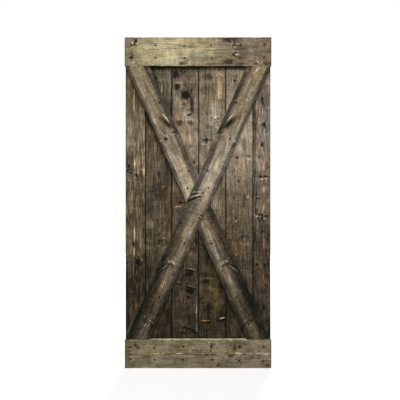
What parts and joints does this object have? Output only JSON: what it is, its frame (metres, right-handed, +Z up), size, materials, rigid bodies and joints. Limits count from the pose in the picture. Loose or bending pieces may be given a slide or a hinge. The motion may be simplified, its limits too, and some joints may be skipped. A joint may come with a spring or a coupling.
{
  "type": "barn door",
  "caption": "Rustic sliding barn door leaf of upright tongue-and-groove planks, with a rail across the top and bottom and an X of face boards between them.",
  "frame": {"origin": "centre of the front face of the top rail, where the hangers of a sliding track bear", "axes": "+Z up along the planks, +X to the right seen from the front, and the front with the rails and the X faces -Y"},
  "size_m": [0.947, 0.035, 2.1336],
  "materials": {
    "plank_wood": "dark weathered stain over knotty pine, matte",
    "rail_wood": "lighter weathered stain over knotty pine, matte",
    "brace_wood": "weathered stain over knotty pine with darker long edges, matte"
  },
  "bodies": {
    "root": {"plank_1": "plank_wood", "plank_2": "plank_wood", "plank_3": "plank_wood", "plank_4": "plank_wood", "plank_5": "plank_wood", "plank_6": "plank_wood", "top_rail": "rail_wood", "bottom_rail": "rail_wood", "brace_through": "brace_wood", "brace_upper_left": "brace_wood", "brace_lower_right": "brace_wood"}
  },
  "joints": []
}
